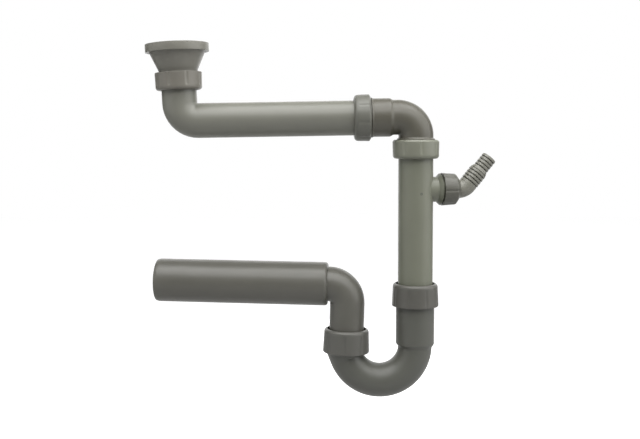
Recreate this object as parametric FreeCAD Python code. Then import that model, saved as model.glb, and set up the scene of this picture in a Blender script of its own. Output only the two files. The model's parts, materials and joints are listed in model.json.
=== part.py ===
import FreeCAD, Part
import math
import os

from FreeCAD import Vector

# Space-saving trap kit for a kitchen sink, in grey polypropylene.
# Water falls from the inlet cup through a bent arm to an elbow, down a standpipe with a
# side nozzle for an appliance hose, round a U bend, and out through a 50 mm drain pipe.
#
# Millimetres. The origin is the middle of the face that seats under the sink, +Z is up,
# +X runs from the cup to the standpipe, and +Y points away from the viewer.

# Pipes
pipe_od = 40.0
pipe_wall = 2.0
pipe_play = 0.4            # radial room of a pipe in its socket
heel_radius = 1.0          # inside radius of the three tight bends
drain_od = 50.0
drain_wall = 2.2
pipe_end_bevel = 0.6

# Sockets and their thread
socket_wall = 1.65
thread_step = 0.35         # from the socket's outside to the thread's root
thread_depth = 1.48
thread_pitch = 2.309
ridge_foot = 0.66          # width of a ridge at its foot, in pitches
ridge_tip = 0.22           # and at its crest
socket_phase = 0.5         # from the thread's lead to the first ridge, in pitches
nut_phase = 1.0            # half a pitch on, so that the nut's ridges lie between
thread_play = 0.3          # radial room between the two threads
thread_lead = 1.2          # from the socket's mouth to the first ridge
seat_width = 1.2           # cone at the mouth that the seal sits in
seat_depth = 3.0
collar_rim = 1.1           # straight part of the shoulder past a nut

# Union nuts
nut_wall = 2.6
nut_draft = 0.45           # how much less radius at the lip than at the open end
groove_count = 8           # shallow finger grooves round the nut
groove_radius = 2.6
groove_depth = 0.6
nut_corner = 3.4           # round edge at the lip
nut_edge = 0.6             # round edge at the open end
nut_lip = 2.6
lip_play = 1.2             # radial room between the lip and the pipe
inlet_nut_length = 20.3
arm_nut_length = 17.3
standpipe_nut_length = 20.8
trap_nut_length = 24.8
outlet_nut_length = 25.6
inlet_nut_turn = -18.5     # where each nut's first groove points, from the front
arm_nut_turn = 32.0
standpipe_nut_turn = -23.0
trap_nut_turn = 22.0
outlet_nut_turn = 38.0

# Seals
seal_flange = 2.6
seal_nose = 2.2
seal_room = 0.3            # between a seal and the cone or the nut round it
seal_fit = 0.05            # a seal on its pipe
face_gap = 0.1             # between flat faces of separate pieces

# Inlet cup, along its own axis down from the seating face
cup_lean = 2.5             # degrees, foot towards the standpipe
rim_od = 72.0
rim_height = 8.5           # seating face to the underside of the rim
rim_lip = 1.2              # wall round the gasket
rim_edge = 0.7
cone_top_od = 62.4
cone_top_drop = 10.9
cone_foot_od = 44.9
cone_foot_drop = 30.1
cup_wall = 2.5
cup_neck = 1.8             # cone's foot to the plain end of the thread
cup_socket_depth = 13.5
gasket_thickness = 3.0
gasket_proud = 0.6
gasket_width = 5.6
gasket_room = 0.3
gasket_edge = 0.4

# Cross web in the cup and the brass insert that takes the strainer screw
web_drop = 22.0
web_height = 7.0
web_thickness = 2.6
web_arms = 4
web_turn = 45.0            # first blade, from the front
boss_od = 15.0
boss_drop = 19.5
boss_height = 12.0
screw_room_od = 6.6        # hole in the boss past the insert
insert_od = 9.0
insert_length = 9.0
insert_bore = 5.0
insert_fit = 0.05
insert_groove = 0.6

# Arm: the leg below the cup, the bend and the long run
leg_drop = 87.8            # seating face to the bend's corner
leg_insertion = 12.5
arm_rise = 0.944           # degrees, up towards the elbow
arm_reach = 269.6          # corner of the arm to corner of the elbow
arm_insertion = 30.0

# Elbow
elbow_reach = 65.9         # corner back to the mouth that takes the arm
elbow_socket_depth = 35.5
elbow_socket_length = 36.2
elbow_step = 2.9           # length of the cone from socket to bend
elbow_collar = 3.2         # shoulder past the arm's nut
elbow_drop = 43.5          # corner down to the mouth that takes the standpipe
elbow_foot_depth = 16.0
elbow_foot_plain = 1.65    # past the end of the thread
elbow_foot_step = 2.3

# Standpipe, and its branch for the hose nozzle
standpipe_insertion = 15.0
standpipe_drop = 154.5     # mouth of the elbow to mouth of the U bend
trap_insertion = 40.0
branch_drop = 39.6         # below the elbow's mouth
branch_turn = 8.8          # degrees, away from the viewer
branch_neck_od = 29.0
branch_wall = 3.4
branch_length = 40.2       # standpipe axis to the branch's mouth
branch_thread_step = 0.65
branch_nut_length = 21.2
branch_nut_overhang = 10.5 # past the branch's mouth
branch_nut_wall = 1.95
branch_groove_count = 6
branch_nut_cone = 4.6
branch_nut_draft = 1.0
branch_nut_tip = 0.7       # wall left at the cone's tip
branch_nut_turn = -9.0
branch_collar_length = 3.8
branch_collar_gap = 1.3    # from the collar to the nut
branch_collar_inset = 0.6  # how much less radius than the nut
branch_washer = 2.2

# Hose nozzle, measured from the corner of its bend
nozzle_od = 21.0
nozzle_bore = 12.6
nozzle_flange = 2.8
nozzle_play = 0.6          # radial room in the nut
nozzle_reach = 17.2        # mouth of the branch to the bend's corner
nozzle_bend_radius = 14.0
nozzle_rise = 50.0         # degrees up from the branch
barb_pitch = 4.1
barb_count = 4
barb_depth = 1.3
barb_groove = 0.6
barb_face = 0.7            # length of the two steps beside a groove
barb_slope = 0.45          # how much less radius at a barb's far end
large_barb_od = 21.8
large_barb_start = 11.0
small_barb_od = 18.0
small_barb_start = 32.1
nozzle_cone = 4.4
nozzle_length = 47.8

# U bend
trap_od = 38.9
trap_reach = 81.8          # between its two legs
trap_drop = 65.2           # mouth to the start of the bend
trap_socket_depth = 61.5
trap_socket_length = 66.8  # mouth to the foot of the socket's cone
trap_step = 3.4
trap_socket_sink = 0.5     # how far the foot of a socket's cone ends inside the tube
trap_rise = 11.5           # end of the bend to the outlet's mouth
outlet_inset = 2.2         # outlet's socket towards the other leg
outlet_socket_depth = 14.5
outlet_collar = 2.2

# Outlet bend and drain pipe
outlet_lean = 1.44         # degrees, head towards the standpipe
outlet_turn = 5.3          # degrees, the drain's end away from the viewer
outlet_sag = 0.9           # degrees, the drain's end down from square
outlet_insertion = 13.0
outlet_rise = 58.0         # mouth of the U bend to the bend's corner
drain_reach = 223.7
drain_shoulder = 22.9      # corner to the back of the wide pipe
drain_round = 3.4
drain_heel = 2.0           # inside corner at the back of the wide pipe
drain_bevel = 0.9
drain_taper = 3.6          # length of the bevel at the drain's end

# Sizes that follow from the ones above
pipe_r = pipe_od / 2
pipe_bore_r = pipe_r - pipe_wall
bend_radius = pipe_r + heel_radius
socket_bore_r = pipe_r + pipe_play
socket_r = socket_bore_r + socket_wall
thread_root_r = socket_r + thread_step
thread_crest_r = thread_root_r + thread_depth
nut_bore_r = thread_crest_r + thread_play
nut_r = nut_bore_r + nut_wall
seal_top = face_gap + seal_flange
lip_face = seal_top + face_gap
lip_top = lip_face + nut_lip
cup_socket_length = inlet_nut_length - lip_top + 2 * thread_step
cup_length = cone_foot_drop + cup_neck + cup_socket_length
elbow_foot_length = standpipe_nut_length - lip_top + thread_step + elbow_foot_plain
branch_neck_r = branch_neck_od / 2
branch_root_r = branch_neck_r + branch_thread_step
branch_crest_r = branch_root_r + thread_depth
branch_bore_r = branch_neck_r - branch_wall
branch_nut_bore_r = branch_crest_r + thread_play
branch_nut_r = branch_nut_bore_r + branch_nut_wall
washer_top = face_gap + branch_washer
flange_top = washer_top + face_gap + nozzle_flange
nozzle_r = nozzle_od / 2

# Room that a cutting shape runs past the face it opens
past = 1.0

# Axes and points of the assembly
front = Vector(0, -1, 0)
up = Vector(0, 0, 1)
down = Vector(0, 0, -1)
origin = Vector(0, 0, 0)


def heading(degrees):
    """Direction in the XZ plane, counted up from +X."""
    angle = math.radians(degrees)
    return Vector(math.cos(angle), 0, math.sin(angle))


def turned_about(direction, axis, degrees):
    """A direction swung round an axis."""
    return FreeCAD.Rotation(axis, degrees).multVec(direction)


cup_axis = heading(-90 + cup_lean)
arm_axis = heading(arm_rise)
arm_corner = cup_axis * leg_drop
elbow_corner = arm_corner + arm_axis * arm_reach
cup_mouth = cup_axis * cup_length
elbow_mouth = elbow_corner - arm_axis * elbow_reach
elbow_foot = elbow_corner + down * elbow_drop
trap_mouth = elbow_foot + down * standpipe_drop
trap_centre = trap_mouth + down * trap_drop - Vector(trap_reach / 2, 0, 0)
outlet_axis = heading(90 - outlet_lean)
outlet_side = turned_about(outlet_axis, Vector(0, 1, 0), 90)
trap_end = trap_centre - outlet_side * (trap_reach / 2)
outlet_mouth = trap_end + outlet_axis * trap_rise + outlet_side * outlet_inset
outlet_corner = outlet_mouth + outlet_axis * outlet_rise
drain_level = turned_about(outlet_side * -1, outlet_axis, -outlet_turn)
drain_axis = turned_about(drain_level, outlet_axis.cross(drain_level), outlet_sag)
branch_axis = turned_about(Vector(1, 0, 0), up, branch_turn)
branch_root = elbow_foot + down * branch_drop
branch_mouth = branch_root + branch_axis * branch_length
nozzle_corner = branch_mouth + branch_axis * nozzle_reach
nozzle_side = branch_axis.cross(up)
nozzle_axis = turned_about(branch_axis, nozzle_side, nozzle_rise)


def along(shape, start, axis, facing=front):
    """A shape built along +Z from the origin, moved to run along an axis from a point."""
    x_axis = facing - axis * facing.dot(axis)
    x_axis.normalize()
    y_axis = axis.cross(x_axis)
    turn = FreeCAD.Rotation(x_axis, y_axis, axis, "ZXY")
    placed = shape.copy()
    placed.Placement = FreeCAD.Placement(start, turn)
    return placed


def corner_arc(before, corner, after, radius):
    """Start, middle and end of the arc that rounds one corner of an outline."""
    inward = (before - corner).normalize()
    outward = (after - corner).normalize()
    half = inward.getAngle(outward) / 2
    leg = radius / math.tan(half)
    bisector = (inward + outward).normalize()
    centre = corner + bisector * (radius / math.sin(half))
    return corner + inward * leg, centre - bisector * radius, corner + outward * leg


def turned(outline):
    """Solid of revolution about Z. Each point is (radius, height) or has a corner radius."""
    points = [Vector(point[0], 0, point[1]) for point in outline]
    radii = [point[2] if len(point) > 2 else 0 for point in outline]
    runs = []
    arcs = []
    for index, point in enumerate(points):
        if radii[index] > 0:
            after = points[(index + 1) % len(points)]
            start, middle, end = corner_arc(points[index - 1], point, after, radii[index])
            arcs.append(Part.Arc(start, middle, end).toShape())
            runs.append((start, end))
        else:
            arcs.append(None)
            runs.append((point, point))
    edges = []
    for index, (entry, leave) in enumerate(runs):
        if arcs[index]:
            edges.append(arcs[index])
        following = runs[(index + 1) % len(runs)][0]
        edges.append(Part.LineSegment(leave, following).toShape())
    face = Part.Face(Part.Wire(edges))
    return face.revolve(origin, up, 360)


def rod(radius, start, end):
    """Round bar from one point to another."""
    run = end - start
    return Part.makeCylinder(radius, run.Length, start, run)


def bent_rod(radius, start, corner, end, bend):
    """Round bar along two straight runs joined by an arc."""
    inward = (corner - start).normalize()
    outward = (end - corner).normalize()
    turn = inward.getAngle(outward)
    leg = bend * math.tan(turn / 2)
    arc_start = corner - inward * leg
    arc_end = corner + outward * leg
    axis = inward.cross(outward).normalize()
    centre = arc_start + axis.cross(inward) * bend
    disc = Part.Face(Part.Wire(Part.makeCircle(radius, arc_start, inward)))
    arc = disc.revolve(centre, axis, math.degrees(turn))
    return rod(radius, start, arc_start).fuse([arc, rod(radius, arc_end, end)])


def ridges(top, bottom, root, crest, shift):
    """Outline points of ring ridges from top to bottom, the first one shifted down."""
    points = []
    half_foot = ridge_foot / 2 * thread_pitch
    half_tip = ridge_tip / 2 * thread_pitch
    centre = top - shift * thread_pitch
    while centre - half_foot > bottom:
        points.append((root, centre + half_foot))
        points.append((crest, centre + half_tip))
        points.append((crest, centre - half_tip))
        points.append((root, centre - half_foot))
        centre = centre - thread_pitch
    return points


def socket_form(threaded, collar, length, foot_r, step):
    """Outside of a socket: thread, optional collar past the nut, plain length, cone."""
    nut_end = lip_top - threaded
    outline = [(0, 0), (thread_root_r, 0)]
    outline += ridges(-thread_lead, nut_end, thread_root_r, thread_crest_r, socket_phase)
    if collar > 0:
        shoulder = nut_end - face_gap
        cone = shoulder - collar
        outline += [(thread_root_r, nut_end), (thread_crest_r, shoulder)]
        outline += [(thread_crest_r, shoulder - collar_rim), (socket_r, cone)]
    else:
        outline += [(thread_root_r, nut_end), (socket_r, nut_end - thread_step)]
    outline += [(socket_r, -length), (foot_r, -length - step), (0, -length - step)]
    return turned(outline)


def socket_way(depth):
    """Hollow of a socket: the cone for the seal, then the bore down to its stop."""
    slope = seat_width / seat_depth
    mouth_r = socket_bore_r + seat_width + slope * past
    outline = [(0, past), (mouth_r, past), (socket_bore_r, -seat_depth)]
    outline += [(socket_bore_r, -depth), (0, -depth)]
    return turned(outline)


def grooves(count, first, low_r, low, high_r, high):
    """Round bars that cut finger grooves along a nut, each following its draft."""
    bars = []
    for groove in range(count):
        angle = math.radians(first + groove * 360 / count)
        outward = Vector(math.cos(angle), math.sin(angle), 0)
        start = outward * (low_r + groove_radius - groove_depth) + up * low
        end = outward * (high_r + groove_radius - groove_depth) + up * high
        run = (end - start).normalize()
        bars.append(rod(groove_radius, start - run * past, end + run * past))
    return bars


def union_nut(length, first_groove):
    """Union nut along +Z, with its thread below the socket's mouth and its lip above."""
    open_end = lip_top - length
    lip_r = nut_r - nut_draft
    form = turned([(0, open_end), (nut_r, open_end, nut_edge), (lip_r, lip_top, nut_corner),
                   (0, lip_top)])
    bars = grooves(groove_count, first_groove, nut_r, open_end, lip_r, lip_top)
    hole_r = pipe_r + lip_play
    hollow = [(0, lip_top + past), (hole_r, lip_top + past), (hole_r, lip_face)]
    hollow += [(nut_bore_r, lip_face)]
    crest_r = thread_root_r + thread_play
    hollow += ridges(-thread_lead, open_end, nut_bore_r, crest_r, nut_phase)
    hollow += [(nut_bore_r, open_end - past), (0, open_end - past)]
    return form.cut(bars).cut(turned(hollow))


def cone_seal():
    """Ring seal with a flange under the nut's lip and a nose in the socket's mouth."""
    inner_r = pipe_r + seal_fit
    outer_r = thread_root_r
    slope = seat_width / seat_depth
    nose_top_r = socket_bore_r + seat_width - seal_room
    nose_tip_r = nose_top_r - slope * seal_nose
    return turned([(inner_r, seal_top), (outer_r, seal_top), (outer_r, face_gap),
                   (nose_top_r, face_gap), (nose_tip_r, -seal_nose), (inner_r, -seal_nose)])


def pipe_end(at, axis):
    """Ring that bevels the end of a pipe that points along an axis."""
    ring = turned([(pipe_r - pipe_end_bevel, 0), (pipe_r - pipe_end_bevel, past),
                   (pipe_r + past, past), (pipe_r + past, -pipe_end_bevel),
                   (pipe_r, -pipe_end_bevel)])
    return along(ring, at, axis)


def make_inlet_cup():
    rim_r = rim_od / 2
    cone_r = cone_top_od / 2
    foot_r = cone_foot_od / 2
    recess_r = rim_r - rim_lip
    form = turned([(0, gasket_proud), (rim_r, gasket_proud, rim_edge),
                   (rim_r, rim_height, rim_edge), (cone_r + rim_edge, rim_height),
                   (cone_r, cone_top_drop), (foot_r, cone_foot_drop), (0, cone_foot_drop)])
    throat_drop = cone_foot_drop + foot_r - cup_wall - pipe_bore_r
    way = turned([(0, -past), (recess_r, -past), (recess_r, gasket_thickness),
                  (recess_r - gasket_width, gasket_thickness),
                  (cone_r - cup_wall, cone_top_drop), (foot_r - cup_wall, cone_foot_drop),
                  (pipe_bore_r, throat_drop), (pipe_bore_r, cup_length), (0, cup_length)])
    socket = socket_form(inlet_nut_length, 0, cup_socket_length, foot_r, cup_neck)
    body = along(form, origin, cup_axis).fuse(along(socket, cup_mouth, cup_axis))
    body = body.cut(along(way, origin, cup_axis))
    body = body.cut(along(socket_way(cup_socket_depth), cup_mouth, cup_axis))
    return body.fuse(make_web()).removeSplitter()


def make_web():
    """Cross web and boss in the cup's cone, with the pocket for the insert."""
    middle = cone_foot_od / 2 - cup_wall / 2
    slope = (cone_top_od - cone_foot_od) / 2 / (cone_foot_drop - cone_top_drop)
    web_foot = web_drop + web_height
    top_reach = middle + slope * (cone_foot_drop - web_drop)
    foot_reach = middle + slope * (cone_foot_drop - web_foot)
    web = rod(boss_od / 2, Vector(0, 0, boss_drop), Vector(0, 0, boss_drop + boss_height))
    for arm in range(web_arms):
        outline = Part.makePolygon([Vector(0, 0, web_drop), Vector(top_reach, 0, web_drop),
                                    Vector(foot_reach, 0, web_foot), Vector(0, 0, web_foot),
                                    Vector(0, 0, web_drop)])
        blade = Part.Face(outline).extrude(Vector(0, web_thickness, 0))
        blade.translate(Vector(0, -web_thickness / 2, 0))
        blade.rotate(origin, up, web_turn + arm * 360 / web_arms)
        web = web.fuse(blade)
    pocket = rod(insert_od / 2 + insert_fit, Vector(0, 0, boss_drop - past),
                 Vector(0, 0, boss_drop + insert_length))
    drill = rod(screw_room_od / 2, Vector(0, 0, boss_drop),
                Vector(0, 0, boss_drop + boss_height + past))
    return along(web.cut(pocket).cut(drill), origin, cup_axis)


def make_screw_insert():
    """Brass bush with a groove round it, for the strainer's screw."""
    outer_r = insert_od / 2
    groove_r = outer_r - insert_groove
    foot = insert_length - face_gap
    bush = turned([(insert_bore / 2, 0), (outer_r, 0), (outer_r, foot / 3),
                   (groove_r, foot / 3 + insert_groove), (groove_r, foot * 2 / 3 - insert_groove),
                   (outer_r, foot * 2 / 3), (outer_r, foot), (insert_bore / 2, foot)])
    return along(bush, cup_axis * boss_drop, cup_axis)


def make_cup_gasket():
    outer_r = rim_od / 2 - rim_lip - gasket_room
    inner_r = rim_od / 2 - rim_lip - gasket_width
    ring = turned([(inner_r, 0, gasket_edge), (outer_r, 0, gasket_edge),
                   (outer_r, gasket_thickness), (inner_r, gasket_thickness)])
    return along(ring, origin, cup_axis)


def make_inlet_arm():
    start = cup_mouth - cup_axis * leg_insertion
    end = elbow_mouth + arm_axis * arm_insertion
    tube = bent_rod(pipe_r, start, arm_corner, end, bend_radius)
    bore = bent_rod(pipe_bore_r, start - cup_axis * past, arm_corner, end + arm_axis * past,
                    bend_radius)
    return tube.cut(bore).cut(pipe_end(start, cup_axis * -1)).cut(pipe_end(end, arm_axis))


def make_elbow():
    upper = socket_form(arm_nut_length, elbow_collar, elbow_socket_length, pipe_r, elbow_step)
    lower = socket_form(standpipe_nut_length, 0, elbow_foot_length, pipe_r, elbow_foot_step)
    upper = along(upper, elbow_mouth, arm_axis * -1)
    lower = along(lower, elbow_foot, down)
    bend = bent_rod(pipe_r, elbow_mouth + arm_axis * elbow_socket_length, elbow_corner,
                    elbow_foot + up * elbow_foot_length, bend_radius)
    bore = bent_rod(pipe_bore_r, elbow_mouth, elbow_corner, elbow_foot, bend_radius)
    body = bend.fuse([upper, lower]).cut(bore)
    body = body.cut(along(socket_way(elbow_socket_depth), elbow_mouth, arm_axis * -1))
    return body.cut(along(socket_way(elbow_foot_depth), elbow_foot, down)).removeSplitter()


def make_standpipe():
    head = elbow_foot + up * standpipe_insertion
    foot = trap_mouth + down * trap_insertion
    tube = rod(pipe_r, head, foot)
    nut_end = branch_nut_overhang - branch_nut_length
    outline = [(0, 0), (branch_root_r, 0)]
    collar_r = branch_nut_r - branch_collar_inset
    collar = nut_end - branch_collar_gap
    outline += ridges(-thread_lead, nut_end, branch_root_r, branch_crest_r, socket_phase)
    outline += [(branch_root_r, collar), (collar_r, collar)]
    outline += [(branch_neck_r, collar - branch_collar_length)]
    outline += [(branch_neck_r, -branch_length), (0, -branch_length)]
    branch = along(turned(outline), branch_mouth, branch_axis)
    way = rod(branch_bore_r, branch_root, branch_mouth + branch_axis * past)
    body = tube.fuse(branch).cut(rod(pipe_bore_r, head + up * past, foot + down * past))
    body = body.cut(way).cut(pipe_end(head, up)).cut(pipe_end(foot, down))
    return body.removeSplitter()


def make_branch_nut():
    open_end = branch_nut_overhang - branch_nut_length
    cone_foot = branch_nut_overhang - branch_nut_cone
    shut_r = branch_nut_r - branch_nut_draft
    hole_r = nozzle_r + nozzle_play
    tip_r = hole_r + branch_nut_tip
    form = turned([(0, open_end), (branch_nut_r, open_end, nut_edge), (shut_r, cone_foot, nut_edge),
                   (tip_r, branch_nut_overhang), (0, branch_nut_overhang)])
    bars = grooves(branch_groove_count, branch_nut_turn, branch_nut_r, open_end, shut_r, cone_foot)
    shoulder = flange_top + face_gap
    hollow = [(0, branch_nut_overhang + past), (hole_r, branch_nut_overhang + past)]
    hollow += [(hole_r, shoulder), (branch_nut_bore_r, shoulder)]
    crest_r = branch_root_r + thread_play
    hollow += ridges(-thread_lead, open_end + thread_pitch, branch_nut_bore_r, crest_r, nut_phase)
    hollow += [(branch_nut_bore_r, open_end - past), (0, open_end - past)]
    return along(form.cut(bars).cut(turned(hollow)), branch_mouth, branch_axis)


def make_branch_washer():
    ring = turned([(branch_bore_r, face_gap), (branch_root_r, face_gap),
                   (branch_root_r, washer_top), (branch_bore_r, washer_top)])
    return along(ring, branch_mouth, branch_axis)


def barbs(start, outer_r, root_r):
    """Outline points of one group of hose barbs, steep side towards the branch."""
    points = []
    for barb in range(barb_count):
        foot = start + barb * barb_pitch
        points.append((root_r, foot - barb_groove))
        points.append((root_r, foot))
        points.append((outer_r, foot + barb_face))
        points.append((outer_r - barb_slope, foot + barb_pitch - barb_groove - barb_face))
    return points


def make_hose_nozzle():
    bend_leg = nozzle_bend_radius * math.tan(math.radians(nozzle_rise / 2))
    base = branch_mouth + branch_axis * (flange_top - nozzle_flange)
    flange = rod(branch_root_r, base, base + branch_axis * nozzle_flange)
    stem_end = nozzle_corner + nozzle_axis * (bend_leg + past)
    stem = bent_rod(nozzle_r, base, nozzle_corner, stem_end, nozzle_bend_radius)
    large_r = large_barb_od / 2
    small_r = small_barb_od / 2
    tip_r = small_r - barb_depth
    plain_end = large_barb_start - barb_groove - barb_face
    cone_foot = large_barb_start + barb_count * barb_pitch
    outline = [(0, bend_leg), (nozzle_r, bend_leg), (nozzle_r, plain_end)]
    outline += barbs(large_barb_start, large_r, large_r - barb_depth)
    outline += [(large_r - barb_depth, cone_foot - barb_groove), (tip_r, cone_foot + nozzle_cone)]
    outline += barbs(small_barb_start, small_r, tip_r)
    outline += [(tip_r, nozzle_length), (0, nozzle_length)]
    tail = along(turned(outline), nozzle_corner, nozzle_axis)
    bore = bent_rod(nozzle_bore / 2, base - branch_axis * past, nozzle_corner,
                    nozzle_corner + nozzle_axis * (nozzle_length + past), nozzle_bend_radius)
    return stem.fuse([flange, tail]).cut(bore).removeSplitter()


def trap_rod(radius):
    """Round bar along the U bend's curve, and up to the mouths at both ends."""
    start = trap_centre + Vector(trap_reach / 2, 0, 0)
    disc = Part.Face(Part.Wire(Part.makeCircle(radius, start, down)))
    curve = disc.revolve(trap_centre, Vector(0, 1, 0), 180 + outlet_lean)
    return curve.fuse([rod(radius, start, trap_mouth),
                       rod(radius, trap_end, trap_end + outlet_axis * trap_rise)])


def make_trap_bend():
    tube_r = trap_od / 2
    plain = trap_socket_length - trap_step
    slope = trap_step / (socket_r - tube_r)
    foot_r = tube_r - trap_socket_sink
    inlet = socket_form(trap_nut_length, 0, plain, foot_r, slope * (socket_r - foot_r))
    plain = outlet_nut_length - lip_top + outlet_collar + thread_step
    foot_r = foot_r - outlet_inset
    outlet = socket_form(outlet_nut_length, outlet_collar, plain, foot_r,
                         slope * (socket_r - foot_r))
    body = trap_rod(tube_r).fuse([along(inlet, trap_mouth, up),
                                  along(outlet, outlet_mouth, outlet_axis)])
    body = body.cut(trap_rod(tube_r - pipe_wall))
    body = body.cut(along(socket_way(trap_socket_depth), trap_mouth, up))
    body = body.cut(along(socket_way(outlet_socket_depth), outlet_mouth, outlet_axis))
    return body.removeSplitter()


def make_outlet_bend():
    start = outlet_mouth - outlet_axis * outlet_insertion
    neck_end = outlet_corner + drain_axis * (drain_shoulder + drain_round)
    leg = bent_rod(pipe_r, start, outlet_corner, neck_end, bend_radius)
    leg_bore = bent_rod(pipe_bore_r, start - outlet_axis * past, outlet_corner, neck_end,
                        bend_radius)
    drain_r = drain_od / 2
    drain = turned([(0, drain_shoulder), (drain_r, drain_shoulder, drain_round),
                    (drain_r, drain_reach - drain_taper),
                    (drain_r - drain_bevel, drain_reach), (0, drain_reach)])
    bore_r = drain_r - drain_wall
    floor = drain_shoulder + drain_wall
    hollow = turned([(0, floor), (bore_r, floor, drain_heel), (bore_r, drain_reach + past),
                     (0, drain_reach + past)])
    body = leg.fuse(along(drain, outlet_corner, drain_axis))
    body = body.cut(leg_bore).cut(along(hollow, outlet_corner, drain_axis))
    return body.cut(pipe_end(start, outlet_axis * -1)).removeSplitter()


def make_nuts():
    """The five large union nuts, each on the socket that it closes."""
    return {
        "inlet_nut": along(union_nut(inlet_nut_length, inlet_nut_turn), cup_mouth, cup_axis),
        "arm_nut": along(union_nut(arm_nut_length, arm_nut_turn), elbow_mouth, arm_axis * -1),
        "standpipe_nut": along(union_nut(standpipe_nut_length, standpipe_nut_turn), elbow_foot,
                               down),
        "trap_nut": along(union_nut(trap_nut_length, trap_nut_turn), trap_mouth, up),
        "outlet_nut": along(union_nut(outlet_nut_length, outlet_nut_turn), outlet_mouth,
                            outlet_axis),
    }


def make_seals():
    """The five cone seals, each in the mouth of a socket."""
    return {
        "inlet_seal": along(cone_seal(), cup_mouth, cup_axis),
        "arm_seal": along(cone_seal(), elbow_mouth, arm_axis * -1),
        "standpipe_seal": along(cone_seal(), elbow_foot, down),
        "trap_seal": along(cone_seal(), trap_mouth, up),
        "outlet_seal": along(cone_seal(), outlet_mouth, outlet_axis),
    }


def make_parts():
    parts = {
        "inlet_cup": make_inlet_cup(),
        "cup_gasket": make_cup_gasket(),
        "screw_insert": make_screw_insert(),
        "inlet_arm": make_inlet_arm(),
        "elbow": make_elbow(),
        "standpipe": make_standpipe(),
        "branch_nut": make_branch_nut(),
        "branch_washer": make_branch_washer(),
        "hose_nozzle": make_hose_nozzle(),
        "trap_bend": make_trap_bend(),
        "outlet_bend": make_outlet_bend(),
    }
    parts.update(make_nuts())
    parts.update(make_seals())
    return parts


def write_parts():
    os.makedirs("parts", exist_ok=True)
    for name, shape in make_parts().items():
        shape.exportStep("parts/%s.step" % name)
        box = shape.BoundBox
        print("%-15s solids %d valid %s volume %.0f  x %.1f..%.1f  y %.1f..%.1f  z %.1f..%.1f" % (
            name, len(shape.Solids), shape.isValid(), shape.Volume,
            box.XMin, box.XMax, box.YMin, box.YMax, box.ZMin, box.ZMax))


write_parts()
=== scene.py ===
import json
import math
from collections import namedtuple

import bmesh
import bpy
from mathutils import Matrix, Vector

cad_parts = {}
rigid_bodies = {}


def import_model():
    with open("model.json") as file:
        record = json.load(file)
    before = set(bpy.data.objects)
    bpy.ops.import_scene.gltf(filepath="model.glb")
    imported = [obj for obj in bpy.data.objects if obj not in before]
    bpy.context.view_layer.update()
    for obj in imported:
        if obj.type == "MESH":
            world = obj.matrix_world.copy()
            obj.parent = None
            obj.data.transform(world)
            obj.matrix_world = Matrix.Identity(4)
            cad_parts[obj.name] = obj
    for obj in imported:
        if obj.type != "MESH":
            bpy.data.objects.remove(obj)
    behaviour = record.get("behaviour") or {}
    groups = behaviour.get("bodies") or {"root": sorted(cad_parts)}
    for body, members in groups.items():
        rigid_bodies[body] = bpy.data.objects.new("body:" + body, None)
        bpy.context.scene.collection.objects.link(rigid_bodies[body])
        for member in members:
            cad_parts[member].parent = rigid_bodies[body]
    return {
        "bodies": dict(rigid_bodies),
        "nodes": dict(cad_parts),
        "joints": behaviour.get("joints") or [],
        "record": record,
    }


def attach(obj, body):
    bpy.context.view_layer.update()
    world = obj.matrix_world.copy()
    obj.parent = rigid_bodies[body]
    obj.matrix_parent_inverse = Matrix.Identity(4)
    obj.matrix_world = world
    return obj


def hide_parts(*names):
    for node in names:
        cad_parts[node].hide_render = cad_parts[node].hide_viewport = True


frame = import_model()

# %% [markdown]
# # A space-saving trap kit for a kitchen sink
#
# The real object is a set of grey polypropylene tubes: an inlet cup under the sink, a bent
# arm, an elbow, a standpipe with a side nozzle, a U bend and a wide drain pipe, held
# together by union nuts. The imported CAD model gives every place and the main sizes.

MM = 0.001
FRONT = Vector((0, -1, 0))
nodes = frame["nodes"]
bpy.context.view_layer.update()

# %% [markdown]
# ## Camera
#
# The camera's place and focal length are those at which the outlines of the CAD model fall
# on the photograph's. Tilting the camera a little and shifting the film for the rest keeps
# the upright tubes almost parallel, as they are in the photograph.

# %% Camera
PHOTO_WIDTH = 640  # pixels
FOCAL_PIXELS = 905.0
FILM_SHIFT = (4.03, -38.0)  # pixels
FILM_WIDTH = 36.0  # mm
CAMERA_PLACE = (158.8, -1038.7, -108.1)  # mm
CAMERA_PITCH = 2.71  # degrees down
NEAR_LIMIT = 0.05  # m
FAR_LIMIT = 50.0  # m

scene = bpy.context.scene
camera_data = bpy.data.cameras.new("studio_camera")
camera_data.sensor_width = FILM_WIDTH
camera_data.lens = FILM_WIDTH * FOCAL_PIXELS / PHOTO_WIDTH
camera_data.shift_x = FILM_SHIFT[0] / PHOTO_WIDTH
camera_data.shift_y = FILM_SHIFT[1] / PHOTO_WIDTH
camera_data.clip_start = NEAR_LIMIT
camera_data.clip_end = FAR_LIMIT
camera = bpy.data.objects.new("studio_camera", camera_data)
scene.collection.objects.link(camera)
camera.location = Vector(CAMERA_PLACE) * MM
camera.rotation_euler = (math.radians(90 - CAMERA_PITCH), 0, 0)
scene.camera = camera
scene.view_settings.view_transform = "Standard"
print("lens", round(camera_data.lens, 2), "mm, shift", round(camera_data.shift_y, 4))

# %% [markdown]
# ## Floor, backdrop and light
#
# The photograph has a pure white ground. A box on the right is weaker, and one on the left
# is faint. The studio is nearly dark otherwise, so the undersides stay dark. A wide box
# behind lights the back, which the photograph doesn't show, and draws a pale line along the
# edges. White for the camera alone comes from the light path, so that the background stays
# white without throwing more light on the plastic. The floor keeps its shadow, and the
# gloss mirrors a tenth of the white.

# %% Helpers for node trees


def math_node(tree, operation, first, second):
    """One Math node; each input is a number or a socket."""
    node = tree.nodes.new("ShaderNodeMath")
    node.operation = operation
    for socket, source in zip(node.inputs, (first, second)):
        if isinstance(source, (int, float)):
            socket.default_value = source
        else:
            tree.links.new(source, socket)
    return node.outputs[0]


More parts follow.
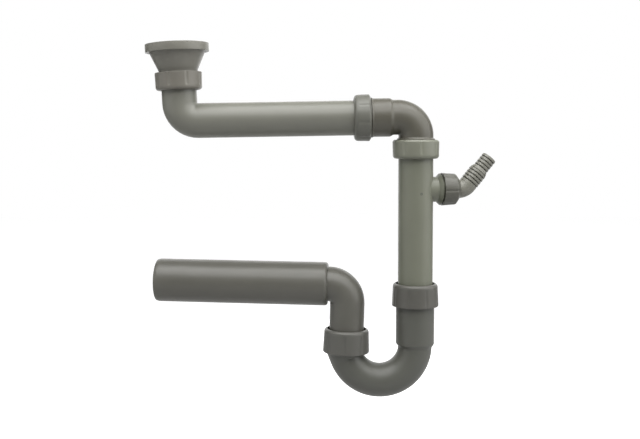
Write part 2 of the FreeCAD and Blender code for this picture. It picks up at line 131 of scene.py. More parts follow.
def seen_strength(tree, camera_strength, mirror_strength):
    """Strength for camera rays, and for the rays of reflections and glass."""
    path = tree.nodes.new("ShaderNodeLightPath")
    mirror = math_node(tree, "MAXIMUM", path.outputs["Is Glossy Ray"],
                       path.outputs["Is Transmission Ray"])
    straight = math_node(tree, "MULTIPLY", path.outputs["Is Camera Ray"], camera_strength)
    return math_node(tree, "MAXIMUM", straight,
                     math_node(tree, "MULTIPLY", mirror, mirror_strength))


# %% Floor
FLOOR_DROP = 0.72  # m
FLOOR_SIZE = 12.0  # m
FLOOR_MIDDLE_X = 0.15  # m
FLOOR_SHADE = 0.45
FLOOR_ROUGHNESS = 0.9
FLOOR_GLOW = 0.97
FLOOR_MIRROR = 0.1

floor_mesh = bpy.data.meshes.new("studio_floor")
shape = bmesh.new()
bmesh.ops.create_grid(shape, x_segments=1, y_segments=1, size=FLOOR_SIZE / 2)
bmesh.ops.translate(shape, verts=shape.verts, vec=Vector((FLOOR_MIDDLE_X, 0, -FLOOR_DROP)))
shape.to_mesh(floor_mesh)
shape.free()
floor = bpy.data.objects.new("studio_floor", floor_mesh)
scene.collection.objects.link(floor)
floor_material = bpy.data.materials.new("white_floor")
floor_material.use_nodes = True
floor_tree = floor_material.node_tree
floor_shader = floor_tree.nodes["Principled BSDF"]
floor_shader.inputs["Base Color"].default_value = (FLOOR_SHADE, FLOOR_SHADE, FLOOR_SHADE, 1)
floor_shader.inputs["Roughness"].default_value = FLOOR_ROUGHNESS
floor_shader.inputs["Emission Color"].default_value = (1, 1, 1, 1)
floor_tree.links.new(seen_strength(floor_tree, FLOOR_GLOW, FLOOR_MIRROR),
                     floor_shader.inputs["Emission Strength"])
floor_mesh.materials.append(floor_material)
print("floor", FLOOR_DROP, "m below the sink")

# %% World
STUDIO_AMBIENT = 0.01
WALL_GLOW = 1.0
WALL_MIRROR = 0.1

world = bpy.data.worlds.new("studio_world")
scene.world = world
world.use_nodes = True
world_tree = world.node_tree
sky = world_tree.nodes["Background"]
sky.inputs["Color"].default_value = (1, 1, 1, 1)
white = seen_strength(world_tree, WALL_GLOW, WALL_MIRROR)
world_tree.links.new(math_node(world_tree, "MAXIMUM", white, STUDIO_AMBIENT),
                     sky.inputs["Strength"])
print("studio light", STUDIO_AMBIENT)

# %% Lamps
KIT_MIDDLE = Vector((0.17, 0, -0.2))  # m
SOFT_BOXES = (  # name, place in m, width and height in m, power in W
    ("front_strip", (0.22, -1.44, 1.4), 2.9, 1.0, 45),
    ("overhead_strip", (0.22, -0.27, 1.3), 2.7, 0.8, 44),
    ("right_box", (1.82, -0.48, 0.44), 2.1, 1.8, 31),
    ("left_fill", (-1.7, -0.64, 0.01), 2.4, 2.2, 15),
    ("rear_box", (0.2, 1.8, 0.2), 2.8, 2.1, 32),
)
for name, place, width, height, power in SOFT_BOXES:
    data = bpy.data.lights.new(name, "AREA")
    data.shape = "RECTANGLE"
    data.size = width
    data.size_y = height
    data.energy = power
    lamp = bpy.data.objects.new(name, data)
    scene.collection.objects.link(lamp)
    lamp.location = place
    lamp.rotation_euler = (KIT_MIDDLE - Vector(place)).to_track_quat("-Z", "Y").to_euler()
    print(name, power, "W")

# %% [markdown]
# ## Moulded plastic
#
# All tubes are injection-moulded polypropylene with a satin skin. Its colour drifts a
# little where the melt flowed, its gloss is not quite even, and the skin has a very fine
# grain. One node group makes these three effects for every shade of grey.

# %% Node group for the moulded skin
NOISE_RANGE = (0.3, 0.7)
FLOW = (28.0, 2.0)  # scale and detail of each noise
PATCHES = (55.0, 3.0)
GRAIN = (1400.0, 2.0)
RIPPLE = (70.0, 1.0)
RIPPLE_STRENGTH = 0.25
RIPPLE_HEIGHT = 0.0004  # m
GRAIN_HEIGHT = 0.00005  # m


def value_noise(tree, vector, scale, detail):
    """Noise between about 0.3 and 0.7."""
    node = tree.nodes.new("ShaderNodeTexNoise")
    node.inputs["Scale"].default_value = scale
    node.inputs["Detail"].default_value = detail
    tree.links.new(vector, node.inputs["Vector"])
    return node.outputs["Fac"]


def spread(tree, value, low, high):
    """A noise value mapped to low to high; each is a number or a socket."""
    node = tree.nodes.new("ShaderNodeMapRange")
    node.inputs["From Min"].default_value, node.inputs["From Max"].default_value = NOISE_RANGE
    tree.links.new(value, node.inputs["Value"])
    for name, source in (("To Min", low), ("To Max", high)):
        if isinstance(source, float):
            node.inputs[name].default_value = source
        else:
            tree.links.new(source, node.inputs[name])
    return node.outputs["Result"]


def bump(tree, height, distance):
    """A Bump node over a height."""
    node = tree.nodes.new("ShaderNodeBump")
    node.inputs["Distance"].default_value = distance
    tree.links.new(height, node.inputs["Height"])
    return node


skin = bpy.data.node_groups.new("moulded_skin", "ShaderNodeTree")
for name, kind in (("Colour", "Color"), ("Drift", "Float"), ("Gloss low", "Float"),
                   ("Gloss high", "Float"), ("Grain", "Float")):
    skin.interface.new_socket(name, in_out="INPUT", socket_type="NodeSocket" + kind)
for name, kind in (("Colour", "Color"), ("Roughness", "Float"), ("Normal", "Vector")):
    skin.interface.new_socket(name, in_out="OUTPUT", socket_type="NodeSocket" + kind)
entry = skin.nodes.new("NodeGroupInput")
leave = skin.nodes.new("NodeGroupOutput")
place = skin.nodes.new("ShaderNodeTexCoord").outputs["Object"]
darkest = math_node(skin, "SUBTRACT", 1.0, entry.outputs["Drift"])
shade = spread(skin, value_noise(skin, place, *FLOW), darkest, 1.0)
tint = skin.nodes.new("ShaderNodeMix")
tint.data_type = "RGBA"
tint.blend_type = "MULTIPLY"
tint.inputs["Factor"].default_value = 1.0
skin.links.new(entry.outputs["Colour"], tint.inputs["A"])
skin.links.new(shade, tint.inputs["B"])
skin.links.new(tint.outputs["Result"], leave.inputs["Colour"])
gloss = spread(skin, value_noise(skin, place, *PATCHES),
               entry.outputs["Gloss low"], entry.outputs["Gloss high"])
skin.links.new(gloss, leave.inputs["Roughness"])
slow_bump = bump(skin, value_noise(skin, place, *RIPPLE), RIPPLE_HEIGHT)
slow_bump.inputs["Strength"].default_value = RIPPLE_STRENGTH
fine_bump = bump(skin, value_noise(skin, place, *GRAIN), GRAIN_HEIGHT)
skin.links.new(entry.outputs["Grain"], fine_bump.inputs["Strength"])
skin.links.new(slow_bump.outputs["Normal"], fine_bump.inputs["Normal"])
skin.links.new(fine_bump.outputs["Normal"], leave.inputs["Normal"])
print("node group", skin.name, "with", len(skin.nodes), "nodes")

# %% Shades of grey
SATIN = (0.36, 0.46)
PLASTIC_IOR = 1.43


def moulded_plastic(name, colour, gloss=SATIN, drift=0.05, grain=0.12):
    """Satin polypropylene in one shade."""
    material = bpy.data.materials.new(name)
    material.use_nodes = True
    tree = material.node_tree
    shader = tree.nodes["Principled BSDF"]
    effect = tree.nodes.new("ShaderNodeGroup")
    effect.node_tree = skin
    effect.inputs["Colour"].default_value = (*colour, 1)
    effect.inputs["Drift"].default_value = drift
    effect.inputs["Gloss low"].default_value = gloss[0]
    effect.inputs["Gloss high"].default_value = gloss[1]
    effect.inputs["Grain"].default_value = grain
    tree.links.new(effect.outputs["Colour"], shader.inputs["Base Color"])
    tree.links.new(effect.outputs["Roughness"], shader.inputs["Roughness"])
    tree.links.new(effect.outputs["Normal"], shader.inputs["Normal"])
    shader.inputs["IOR"].default_value = PLASTIC_IOR
    print("material", name, colour)
    return material


# The record names four shades. The photograph shows that the parts of one shade still
# differ a little, as parts from different batches do, so each part has its own tone.
finish = {
    "inlet_cup": moulded_plastic("cup_grey", (0.151, 0.147, 0.126)),
    "inlet_nut": moulded_plastic("cup_nut_grey", (0.134, 0.127, 0.108)),
    "inlet_arm": moulded_plastic("arm_grey", (0.142, 0.142, 0.120), (0.33, 0.42)),
    "elbow": moulded_plastic("elbow_grey", (0.076, 0.072, 0.057), (0.35, 0.44)),
    "arm_nut": moulded_plastic("arm_nut_grey", (0.099, 0.099, 0.084)),
    "standpipe": moulded_plastic("standpipe_grey", (0.132, 0.137, 0.105)),
    "standpipe_nut": moulded_plastic("standpipe_nut_grey", (0.141, 0.145, 0.113)),
    "branch_nut": moulded_plastic("branch_nut_grey", (0.074, 0.073, 0.060)),
    "hose_nozzle": moulded_plastic("nozzle_grey", (0.144, 0.142, 0.119), (0.34, 0.44),
                                   grain=0.04),
    "trap_bend": moulded_plastic("trap_grey", (0.077, 0.078, 0.067)),
    "trap_nut": moulded_plastic("trap_nut_grey", (0.075, 0.073, 0.064)),
    "outlet_nut": moulded_plastic("outlet_nut_grey", (0.078, 0.077, 0.068)),
    "outlet_bend": moulded_plastic("outlet_grey", (0.085, 0.083, 0.071), (0.32, 0.41)),
}
# The gate mark is a darker grey than the standpipe: painted shade for the dark pit in its
# middle.
gate_pit_shade = moulded_plastic("gate_pit_painted_shade", (0.085, 0.09, 0.072), (0.5, 0.6), drift=0.1, grain=0.2)
rubber = moulded_plastic("seal_rubber", (0.03, 0.03, 0.03), (0.6, 0.75), drift=0.2, grain=0.3)
brass = moulded_plastic("insert_brass", (0.60, 0.45, 0.21), (0.24, 0.38), drift=0.12,
                        grain=0.05)
brass.node_tree.nodes["Principled BSDF"].inputs["Metallic"].default_value = 1.0
finish["screw_insert"] = brass

for name, node in nodes.items():
    for slot in node.material_slots:
        slot.material = finish.get(name, rubber)
print(len(nodes), "CAD nodes have a material")

# %% [markdown]
# ## Sizes and places
#
# The moulded parts are made again here with rounded edges, on nearly the same sizes as the
# CAD model, in millimetres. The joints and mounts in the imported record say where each
# socket's mouth is and which way it points, so a part can't drift away from the frame.

# %% Shared sizes
# Pipes and sockets
PIPE_R = 20.0
PIPE_BORE_R = 18.0
BEND_R = 21.0
SOCKET_BORE_R = 20.4
SOCKET_R = 22.05
SEAT_R = SOCKET_BORE_R + 1.2
SEAT_DEPTH = 3.0
GAP_R = 21.6
COLLAR_R = 23.2

# Threads; a ridge's widths and a phase are shares of the pitch
THREAD_ROOT_R = 22.4
THREAD_CREST_R = 23.88
THREAD_PITCH = 2.309
THREAD_LEAD = 1.2
RIDGE_FOOT = 0.66
RIDGE_TIP = 0.22
SOCKET_PHASE = 0.5
NUT_PHASE = 1.0
NUT_THREAD_R = THREAD_ROOT_R + 0.3

# Nuts; heights count from the socket's mouth
NUT_BORE_R = 24.18
NUT_R = 26.78
LIP_FACE = 2.8
LIP_TOP = 5.4

UP = Vector((0, 0, 1))
DOWN = Vector((0, 0, -1))
print("pipe", 2 * PIPE_R, "mm, socket", 2 * SOCKET_R, "mm, nut", 2 * NUT_R, "mm")

# %% Places from the record
joint_places = {}
for joint in frame["joints"]:
    if "pos_m" in joint:
        joint_places[joint["name"]] = (Vector(joint["pos_m"]) / MM,
                                       Vector(joint["axis"]).normalized())


def mount_axis(name):
    """The direction of one of the record's mounts."""
    mounts = {mount["name"]: mount for mount in frame["record"]["mounts"]}
    return Vector(mounts[name]["axis"]).normalized()


def port(mouth, outward, towards=FRONT):
    """A frame in millimetres: Z leaves the mouth, and X is as near the viewer as can be."""
    x_axis = (towards - outward * towards.dot(outward)).normalized()
    y_axis = outward.cross(x_axis)
    columns = (x_axis, y_axis, outward)
    return Matrix.Translation(mouth) @ Matrix(columns).transposed().to_4x4()


print("places:", sorted(joint_places))

# %% [markdown]
# ## Finishing a piece
#
# A bmesh in millimetres becomes an object in metres at the origin, with its faces outward
# and smooth, and with its hard corners kept. It then rides on a CAD body and takes the
# material of a CAD node, unless it is given its own. It stands for that node, unless it only
# adds to it.

# %% Helper that finishes a piece
HARD_CORNER = 32.0  # degrees
SAME_POINT = 0.0005  # mm


def finish_piece(shape, name, body, node, material=None, stands_for_node=True):
    """Turns a bmesh into a piece that rides on a body."""
    bmesh.ops.remove_doubles(shape, verts=shape.verts, dist=SAME_POINT)
    bmesh.ops.scale(shape, verts=shape.verts, vec=Vector((MM, MM, MM)))
    bmesh.ops.recalc_face_normals(shape, faces=shape.faces)
    for face in shape.faces:
        face.smooth = True
    open_edges = 0
    for edge in shape.edges:
        if len(edge.link_faces) != 2:
            open_edges += 1
        elif edge.calc_face_angle(0) > math.radians(HARD_CORNER):
            edge.smooth = False
    volume = shape.calc_volume(signed=True) / MM ** 3
    mesh = bpy.data.meshes.new(name)
    shape.to_mesh(mesh)
    shape.free()
    mesh.materials.append(material or finish[node])
    piece = bpy.data.objects.new(name, mesh)
    scene.collection.objects.link(piece)
    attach(piece, body)
    if stands_for_node:
        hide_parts(node)
    print(name, len(mesh.polygons), "faces,", round(volume), "mm3, open edges", open_edges)


# %% [markdown]
# ## Rings along a route
#
# A socket, a cone, a bend and a pipe are one skin: a circle that is pushed along, made
# wider or narrower, and swung round a bend. So a part is written as a list of stops. The
# route goes down the outside and comes back up the bore, and its two ends are bridged.
# A stop can be soft: its ring is then bevelled, as the mould rounds that edge.

# %% Helpers for rings along a route
RING_STEPS = 96
SOFT_STEPS = 4
BEND_STEPS = 28

# A ring of a radius, some way along a frame's Z; soft is the width of its bevel.
Stop = namedtuple("Stop", "frame along radius soft", defaults=(0.0,))
# A swing of the last ring about an axis through a centre.
Turn = namedtuple("Turn", "centre axis degrees steps")


def swing(turn):
    """The motion of a bend as a matrix."""
    about = Matrix.Translation(turn.centre)
    return about @ Matrix.Rotation(math.radians(turn.degrees), 4, turn.axis) @ about.inverted()


def bend(corner, before, after, radius, steps=BEND_STEPS):
    """The turn from one direction of travel to another, and its length on each run."""
    axis = before.cross(after).normalized()
    angle = before.angle(after)
    reach = radius * math.tan(angle / 2)
    centre = corner - before * reach + axis.cross(before) * radius
    return Turn(centre, axis, math.degrees(angle), steps), reach


def back(turn):
    """The same turn the other way round."""
    return Turn(turn.centre, turn.axis, -turn.degrees, turn.steps)


def after_turn(port_frame, turn, mouth, outward):
    """The port at the far end of a bend, with its ring points in line with the near end's."""
    moved = swing(turn).to_3x3() @ port_frame.to_3x3()
    columns = (moved.col[0], moved.col[1], outward)
    return Matrix.Translation(mouth) @ Matrix(columns).transposed().to_4x4()


def ring_place(stop):
    """The matrix that lays the unit circle on a stop's ring."""
    return (stop.frame @ Matrix.Translation((0, 0, stop.along))
            @ Matrix.Diagonal((stop.radius, stop.radius, 1, 1)))


def closed_tube(route, segments=RING_STEPS):
    """The skin along a closed route of stops and turns."""
    shape = bmesh.new()
    here = ring_place(route[0])
    bmesh.ops.create_circle(shape, cap_ends=False, radius=1, segments=segments, matrix=here)
    loop = shape.edges[:]
    first = loop
    rings = [(loop, route[0].soft)]
    for step in route[1:]:
        if isinstance(step, Turn):
            ring = loop + list({vert for edge in loop for vert in edge.verts})
            swept = bmesh.ops.spin(shape, geom=ring, cent=step.centre, axis=step.axis,
                                   angle=math.radians(step.degrees), steps=step.steps,
                                   use_merge=False, use_duplicate=False)
            loop = [item for item in swept["geom_last"] if isinstance(item, bmesh.types.BMEdge)]
            here = swing(step) @ here
            continue
        pushed = bmesh.ops.extrude_edge_only(shape, edges=loop)["geom"]
        loop = [item for item in pushed if isinstance(item, bmesh.types.BMEdge)
                and len(item.link_faces) == 1]
        there = ring_place(step)
        bmesh.ops.transform(shape, matrix=there @ here.inverted(),
                            verts=list({vert for edge in loop for vert in edge.verts}))
        here = there
        rings.append((loop, step.soft))
    bmesh.ops.bridge_loops(shape, edges=first + loop)
    for ring, soft in rings:
        if soft > 0:
            bmesh.ops.bevel(shape, geom=ring, offset=soft, offset_type="OFFSET",
                            affect="EDGES", segments=SOFT_STEPS, profile=0.5, material=-1)
    return shape


# %% [markdown]
# ## Threads
#
# A thread is shown as separate ring ridges with flat crests, as in the CAD model.

# %% Helper for threads


def ridges(frame, top, bottom, root, crest, phase):
    """Stops of ring ridges from top to bottom."""
    stops = []
    foot = RIDGE_FOOT / 2 * THREAD_PITCH
    tip = RIDGE_TIP / 2 * THREAD_PITCH
    middle = top - phase * THREAD_PITCH
    while middle - foot > bottom:
        stops += [Stop(frame, middle + foot, root), Stop(frame, middle + tip, crest),
                  Stop(frame, middle - tip, crest), Stop(frame, middle - foot, root)]
        middle -= THREAD_PITCH
    return stops


# %% [markdown]
# ## Union nuts
#
# A real nut of this kit is a cap with a well rounded shoulder, a thread inside, and eight
# very shallow finger grooves that end below the shoulder, so that the shoulder stays a full
# ring. The grooves are pressed into the skin by moving points inward along a cosine, which
# gives soft edges that a cut with sharp bars would not. Two of the nuts end in a cone on
# the thread's side, and behind it a dark gap shows the root of the socket's thread.

# %% Helpers for nuts
NUT_STEPS = 288
GROOVES = 8
GROOVE_REACH = 2.5
GROOVE_END = 0.5
CONE_WALL = 0.9
SKIN_WALL = 0.9
SHOULDER_RING = 5.2
RING_GAP = 0.9
OPEN_EDGE = 1.5

# The length of the CAD nut, the turn of a groove in degrees and the grooves' depth, how far
# the skin narrows towards the lip, the lip's top, rounding and hole, and the cone at the
# open end: how far it goes beyond the CAD nut, its height and its smaller radius.
Nut = namedtuple("Nut", "node length groove depth draft lip_top lip_round hole_r "
                 "cone_out cone_high cone_r",
                 defaults=(0.4, 0.45, 5.4, 3.4, 21.2, 0.0, 0.0, 0.0))


def press_grooves(shape, seat, count, first, skin_r, depth, reach, top):
    """Moves the points of the outer skin below a height inward along soft grooves."""
    to_local = seat.inverted()
    for vert in shape.verts:
        local = to_local @ vert.co
        radius = math.hypot(local.x, local.y)
        if radius < skin_r or local.z > top:
            continue
        turn = math.degrees(math.atan2(local.y, local.x)) - first
        away = (turn + 180 / count) % (360 / count) - 180 / count
        distance = abs(math.radians(away)) * radius
        if distance < reach:
            dip = depth * (1 + math.cos(math.pi * distance / reach)) / 2
            scale = (radius - dip) / radius
            vert.co = seat @ Vector((local.x * scale, local.y * scale, local.z))


def union_nut(nut):
    """One large union nut on its socket."""
    seat = port(*joint_places[nut.node + "_turn"])
    thread_end = LIP_TOP - nut.length
    open_end = thread_end - nut.cone_out
    lip_r = NUT_R - nut.draft
    ring = nut.lip_top - SHOULDER_RING
    ring_r = lip_r + nut.draft * SHOULDER_RING / nut.length
    if nut.cone_r:
        route = [Stop(seat, open_end, nut.cone_r, 0.3),
                 Stop(seat, open_end + nut.cone_high, NUT_R, 0.4)]
    else:
        route = [Stop(seat, open_end, NUT_R, 0.7), Stop(seat, open_end + OPEN_EDGE, NUT_R)]
    route += [Stop(seat, ring - RING_GAP, ring_r), Stop(seat, ring, ring_r),
              Stop(seat, nut.lip_top, lip_r, nut.lip_round),
              Stop(seat, nut.lip_top, nut.hole_r, 0.5), Stop(seat, LIP_FACE, nut.hole_r),
              Stop(seat, LIP_FACE, NUT_BORE_R)]
    route += ridges(seat, -THREAD_LEAD, thread_end, NUT_BORE_R, NUT_THREAD_R, NUT_PHASE)
    if nut.cone_r:
        inside_r = nut.cone_r - CONE_WALL
        route += [Stop(seat, thread_end + 0.5, NUT_BORE_R), Stop(seat, thread_end, inside_r),
                  Stop(seat, open_end, inside_r)]
    else:
        route.append(Stop(seat, open_end, NUT_BORE_R, 0.35))
    shape = closed_tube(route, NUT_STEPS)
    press_grooves(shape, seat, GROOVES, nut.groove, NUT_BORE_R + SKIN_WALL, nut.depth,
                  GROOVE_REACH, ring - GROOVE_END)
    return shape


# %% Union nuts
NUTS = (Nut("inlet_nut", 20.3, 16.3, depth=0.65),
        Nut("arm_nut", 17.3, 32.0, depth=0.5, lip_round=4.4,
            cone_out=1.9, cone_high=1.9, cone_r=24.2),
        Nut("standpipe_nut", 20.8, -8.1, lip_top=4.2,
            cone_out=2.0, cone_high=2.0, cone_r=24.9),
        Nut("trap_nut", 24.8, 23.5, draft=1.1, lip_top=6.6, lip_round=3.3, hole_r=22.2),
        Nut("outlet_nut", 25.6, 38.9, draft=1.0, lip_top=6.6, lip_round=3.3, hole_r=22.9))
nut_length = {nut.node: nut.length for nut in NUTS}
for nut in NUTS:
    finish_piece(union_nut(nut), nut.node + "_cap", nut.node, nut.node)

# %% [markdown]
# ## Elbow, U bend and outlet bend
#
# These three are one moulding each: sockets, cones and bends run into each other with
# rounded edges. The routes go down the outside and back through the bore.

# %% Helpers for sockets


def socket_outside(seat, nut_length, collar=0.0, gap=0.0):
    """Stops from a socket's mouth over its thread to the plain outside."""
    nut_end = LIP_TOP - nut_length
    stops = [Stop(seat, 0, SEAT_R), Stop(seat, 0, THREAD_ROOT_R, 0.25)]
    stops += ridges(seat, -THREAD_LEAD, nut_end, THREAD_ROOT_R, THREAD_CREST_R, SOCKET_PHASE)
    stops.append(Stop(seat, nut_end, THREAD_ROOT_R))
    if not collar:
        return stops + [Stop(seat, nut_end - 0.35, SOCKET_R)]
    collar_top = nut_end - gap
    return stops + [Stop(seat, nut_end - 0.1, GAP_R), Stop(seat, collar_top, GAP_R),
                    Stop(seat, collar_top, COLLAR_R, 0.3),
                    Stop(seat, collar_top - collar, SOCKET_R, 0.6)]


def socket_inside(seat, depth):
    """Stops from a socket's mouth down to the stop for the pipe."""
    return [Stop(seat, -SEAT_DEPTH, SOCKET_BORE_R), Stop(seat, -depth, SOCKET_BORE_R)]


# %% Elbow
ELBOW_REACH = 65.9
ELBOW_DROP = 43.5
ELBOW_SOCKET = 36.2
ELBOW_CONE_END = 39.1
ELBOW_FOOT = 18.4
ELBOW_FOOT_EDGE = 1.3
ARM_DEPTH = 35.5
STANDPIPE_DEPTH = 16.0

elbow_mouth, elbow_out = joint_places["arm_nut_turn"]
elbow_foot = joint_places["standpipe_nut_turn"][0]
arm_side = port(elbow_mouth, elbow_out)
turn, reach = bend(elbow_mouth - elbow_out * ELBOW_REACH, -elbow_out, DOWN, BEND_R)
pipe_side = after_turn(arm_side, turn, elbow_foot, DOWN)
route = socket_outside(arm_side, nut_length["arm_nut"], collar=2.0, gap=2.9)
route += [Stop(arm_side, -ELBOW_SOCKET, SOCKET_R, 1.0),
          Stop(arm_side, -ELBOW_CONE_END, PIPE_R, 1.2),
          Stop(arm_side, reach - ELBOW_REACH, PIPE_R), turn,
          Stop(pipe_side, -ELBOW_FOOT - ELBOW_FOOT_EDGE, PIPE_R, 0.6),
          Stop(pipe_side, -ELBOW_FOOT, SOCKET_R, 0.4)]
route += reversed(socket_outside(pipe_side, nut_length["standpipe_nut"]))
route += socket_inside(pipe_side, STANDPIPE_DEPTH)
route += [Stop(pipe_side, -STANDPIPE_DEPTH, PIPE_BORE_R),
          Stop(pipe_side, reach - ELBOW_DROP, PIPE_BORE_R), back(turn),
          Stop(arm_side, -ARM_DEPTH, PIPE_BORE_R)]
route += reversed(socket_inside(arm_side, ARM_DEPTH))
finish_piece(closed_tube(route), "elbow_moulding", "elbow", "elbow")

# %% U bend
TRAP_R = 19.45
TRAP_BORE_R = 17.45
TRAP_REACH = 81.8
TRAP_DROP = 65.2
TRAP_SOCKET = 63.4
TRAP_DEPTH = 61.5
OUTLET_SOCKET = 22.75
OUTLET_DEPTH = 14.5
CONE_ANGLE = 2.3
OUTLET_ANGLE = 21.0
BORE_ANGLE = 4.2
BEHIND = Vector((0, 1, 0))

trap_mouth = joint_places["trap_nut_turn"][0]
outlet_mouth, outlet_axis = joint_places["outlet_nut_turn"]
trap_side = port(trap_mouth, UP)
trap_centre = trap_mouth + DOWN * TRAP_DROP - Vector((TRAP_REACH / 2, 0, 0))
trap_turn = 180 + math.degrees(math.acos(outlet_axis.z))
whole_turn = Turn(trap_centre, BEHIND, trap_turn, 48)
cone_turn = Turn(trap_centre, BEHIND, CONE_ANGLE, 1)
middle_turn = Turn(trap_centre, BEHIND, trap_turn - CONE_ANGLE - OUTLET_ANGLE, 44)
bore_turn = Turn(trap_centre, BEHIND, trap_turn - BORE_ANGLE, 46)
cone_foot = swing(cone_turn) @ trap_side
bore_head = swing(bore_turn) @ trap_side
outlet_side = after_turn(trap_side, whole_turn, outlet_mouth, outlet_axis)
route = socket_outside(trap_side, nut_length["trap_nut"])
route += [Stop(trap_side, -TRAP_SOCKET, SOCKET_R, 0.9),
          Stop(cone_foot, -TRAP_DROP, TRAP_R, 0.9), middle_turn,
          Stop(outlet_side, -OUTLET_SOCKET, SOCKET_R, 0.9)]
route += reversed(socket_outside(outlet_side, nut_length["outlet_nut"], collar=1.3, gap=0.9))
route += socket_inside(outlet_side, OUTLET_DEPTH)
route += [Stop(bore_head, -TRAP_DROP, TRAP_BORE_R), back(bore_turn),
          Stop(trap_side, -TRAP_DEPTH, TRAP_BORE_R)]
route += reversed(socket_inside(trap_side, TRAP_DEPTH))
finish_piece(closed_tube(route), "trap_moulding", "trap", "trap_bend")

# %% Outlet bend with its drain pipe
OUTLET_RISE = 58.0
OUTLET_INSERTION = 13.0
OUTLET_BEVEL = 0.6
DRAIN_R = 25.0
DRAIN_BORE_R = 22.8
DRAIN_REACH = 223.7
DRAIN_SHOULDER = 22.9
DRAIN_SHOULDER_WALL = 2.2
DRAIN_TIP = 3.6
DRAIN_TIP_DRAFT = 0.9

drain_axis = mount_axis("drain_end")
outlet_corner = outlet_mouth + outlet_axis * OUTLET_RISE
leg = port(outlet_mouth, outlet_axis)
turn, reach = bend(outlet_corner, outlet_axis, drain_axis, BEND_R)
drain = after_turn(leg, turn, outlet_corner, drain_axis)
shoulder_inside = DRAIN_SHOULDER + DRAIN_SHOULDER_WALL
route = [Stop(leg, -OUTLET_INSERTION, PIPE_R - OUTLET_BEVEL),
         Stop(leg, OUTLET_BEVEL - OUTLET_INSERTION, PIPE_R),
         Stop(leg, OUTLET_RISE - reach, PIPE_R), turn,
         Stop(drain, DRAIN_SHOULDER, PIPE_R, 0.5), Stop(drain, DRAIN_SHOULDER, DRAIN_R, 3.2),
         Stop(drain, DRAIN_REACH - DRAIN_TIP, DRAIN_R, 1.2),
         Stop(drain, DRAIN_REACH, DRAIN_R - DRAIN_TIP_DRAFT, 0.4),
         Stop(drain, DRAIN_REACH, DRAIN_BORE_R, 0.3),
         Stop(drain, shoulder_inside, DRAIN_BORE_R, 1.8),
         Stop(drain, shoulder_inside, PIPE_BORE_R, 0.5), Stop(drain, reach, PIPE_BORE_R),
         back(turn), Stop(leg, -OUTLET_INSERTION, PIPE_BORE_R)]
finish_piece(closed_tube(route), "drain_moulding", "outlet", "outlet_bend")

# %% [markdown]
# ## Branch nut and hose nozzle
#
# The small nut ends in a cone round the nozzle. The nozzle leaves it, bends up, and has
# two groups of rings that grip a hose: wide ones first, then narrower ones.

# %% Branch nut
BRANCH_ROOT_R = 15.15
BRANCH_NUT_THREAD_R = BRANCH_ROOT_R + 0.3
BRANCH_NUT_BORE_R = 16.93
BRANCH_NUT_R = 18.88
BRANCH_OPEN = -9.9
BRANCH_WAIST = -3.0
BRANCH_LIP = 5.9
BRANCH_LIP_FACE = 5.3
BRANCH_TIP = 10.5
BRANCH_TIP_R = 11.8
BRANCH_HOLE_R = 11.1
BRANCH_NUT_STEPS = 216

branch_mouth, branch_axis = joint_places["branch_nut_turn"]
branch = port(branch_mouth, branch_axis)
route = [Stop(branch, BRANCH_OPEN, BRANCH_NUT_R, 0.6),
         Stop(branch, BRANCH_WAIST, BRANCH_NUT_R - 0.5),
         Stop(branch, BRANCH_LIP, BRANCH_NUT_R - 1.0, 0.8),
         Stop(branch, BRANCH_TIP, BRANCH_TIP_R, 0.3), Stop(branch, BRANCH_TIP, BRANCH_HOLE_R),
         Stop(branch, BRANCH_LIP_FACE, BRANCH_HOLE_R),
         Stop(branch, BRANCH_LIP_FACE, BRANCH_NUT_BORE_R)]
route += ridges(branch, -THREAD_LEAD, BRANCH_OPEN + THREAD_PITCH, BRANCH_NUT_BORE_R,
                BRANCH_NUT_THREAD_R, NUT_PHASE)
route.append(Stop(branch, BRANCH_OPEN, BRANCH_NUT_BORE_R, 0.3))
shape = closed_tube(route, BRANCH_NUT_STEPS)
press_grooves(shape, branch, count=6, first=2.9, skin_r=BRANCH_NUT_BORE_R + 0.3, depth=0.6,
              reach=2.2, top=BRANCH_TIP)
finish_piece(shape, "branch_nut_cap", "branch_nut", "branch_nut")

# %% Hose nozzle
FLANGE_START = 2.4
FLANGE_END = 5.2
NOZZLE_R = 10.5
NOZZLE_BORE_R = 6.3
NOZZLE_REACH = 17.2
NOZZLE_BEND_R = 14.0
NOZZLE_PLAIN_END = 9.7
NOZZLE_END = 47.8
NOZZLE_TIP_R = 7.9
BARBS = 4
BARB_PITCH = 4.1
BARB_TOP = 2.9
GROOVE_WIDTH = 0.9
WIDE_START = 11.0
WIDE_CREST_R = 10.9
WIDE_ROOT_R = 9.1
NARROW_START = 32.1
NARROW_CREST_R = 9.0
NARROW_ROOT_R = 7.3
STEP_BETWEEN = ((26.5, WIDE_ROOT_R, 0.0), (26.8, 10.4, 0.3),
                (30.9, 8.9, 0.3), (31.15, NARROW_ROOT_R, 0.0))  # along, radius and soft

nozzle_axis = mount_axis("hose_spigot")
corner = branch_mouth + branch_axis * NOZZLE_REACH
turn, reach = bend(corner, branch_axis, nozzle_axis, NOZZLE_BEND_R, 16)
tail = after_turn(branch, turn, corner, nozzle_axis)


def barbs(start, crest, root):
    """Stops of one group of hose rings with a narrow, deep groove before each ring."""
    stops = []
    for barb in range(BARBS):
        foot = start + barb * BARB_PITCH
        stops += [Stop(tail, foot - GROOVE_WIDTH, root), Stop(tail, foot, root),
                  Stop(tail, foot + 0.25, crest, 0.15),
                  Stop(tail, foot + BARB_TOP, crest - 0.3, 0.2)]
    return stops


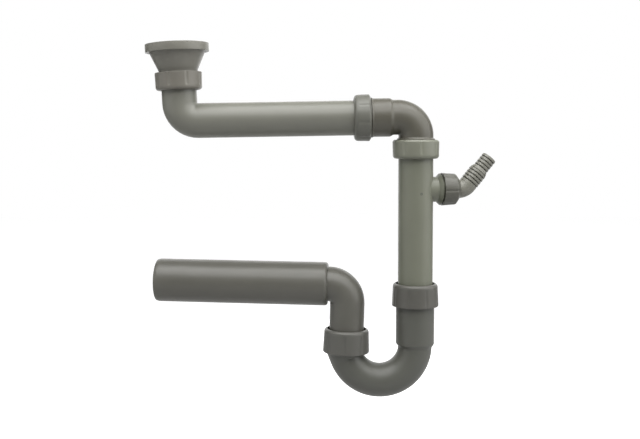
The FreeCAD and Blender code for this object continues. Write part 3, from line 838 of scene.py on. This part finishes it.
route = [Stop(branch, FLANGE_START, BRANCH_ROOT_R, 0.3),
         Stop(branch, FLANGE_END, BRANCH_ROOT_R, 0.3), Stop(branch, FLANGE_END, NOZZLE_R),
         Stop(branch, NOZZLE_REACH - reach, NOZZLE_R), turn,
         Stop(tail, NOZZLE_PLAIN_END, NOZZLE_R, 0.3)]
route += barbs(WIDE_START, WIDE_CREST_R, WIDE_ROOT_R)
route += [Stop(tail, *step) for step in STEP_BETWEEN]
route += barbs(NARROW_START, NARROW_CREST_R, NARROW_ROOT_R)
route += [Stop(tail, NOZZLE_END - 0.1, NOZZLE_TIP_R, 0.3),
          Stop(tail, NOZZLE_END, NOZZLE_BORE_R, 0.3), Stop(tail, reach, NOZZLE_BORE_R),
          back(turn), Stop(branch, FLANGE_START, NOZZLE_BORE_R)]
finish_piece(closed_tube(route), "hose_nozzle_moulding", "nozzle", "hose_nozzle")

# %% [markdown]
# ## The rim of the cup
#
# The real rim ends in two crisp edges. The solid's edges are rounder, so a ring with a
# square outside is turned over them. It is a little deeper than the solid's rim, as in the
# photograph. Its underside rises towards the cone, and its inside lies in the rim's own wall.

# %% Rim of the cup
RIM_STEPS = 144
RIM_R = 36.2
RIM_WALL_R = 35.2
RIM_UNDERSIDE_R = 31.2
RIM_TOP = 0.3
RIM_FOOT = 9.6
RIM_SOLID_FOOT = 8.2

rim = port(Vector(), joint_places["inlet_nut_turn"][1])
route = [Stop(rim, RIM_TOP, RIM_R, 0.25), Stop(rim, RIM_FOOT, RIM_R, 0.35),
         Stop(rim, RIM_SOLID_FOOT, RIM_UNDERSIDE_R), Stop(rim, RIM_SOLID_FOOT, RIM_WALL_R),
         Stop(rim, RIM_TOP, RIM_WALL_R)]
finish_piece(closed_tube(route, RIM_STEPS), "cup_rim_band", "cup", "inlet_cup",
             stands_for_node=False)

# %% [markdown]
# ## The gate mark
#
# Where the plastic flowed into the mould, a short stub was cut off and left a small round
# scar on the front of the standpipe. It is a low ring with a pit in it, turned on a spin
# axis that stands square on the pipe. The whole mark is a darker grey than the pipe: painted
# shade for the dark of the pit.

# %% Gate mark
GATE_HEIGHT = -170.5
GATE_TURN = math.radians(13.3)
GATE_STEPS = 32
GATE_PROFILE = ((0.0, -0.5), (1.7, -0.5), (1.7, -0.05), (1.45, 0.12), (1.1, 0.12),
                (0.8, -0.02), (0.0, -0.02))  # radius and height

gate_axis = Vector((math.sin(GATE_TURN), -math.cos(GATE_TURN), 0))
gate_place = Vector((elbow_foot.x, elbow_foot.y, GATE_HEIGHT)) + gate_axis * PIPE_R
gate = port(gate_place, gate_axis, UP)
shape = bmesh.new()
points = [shape.verts.new(gate @ Vector((radius, 0, height)))
          for radius, height in GATE_PROFILE]
lines = [shape.edges.new(pair) for pair in zip(points, points[1:])]
bmesh.ops.spin(shape, geom=points + lines, cent=gate_place, axis=gate_axis, angle=math.tau,
               steps=GATE_STEPS, use_merge=True, use_duplicate=False)
finish_piece(shape, "gate_mark", "standpipe", "standpipe", gate_pit_shade, stands_for_node=False)
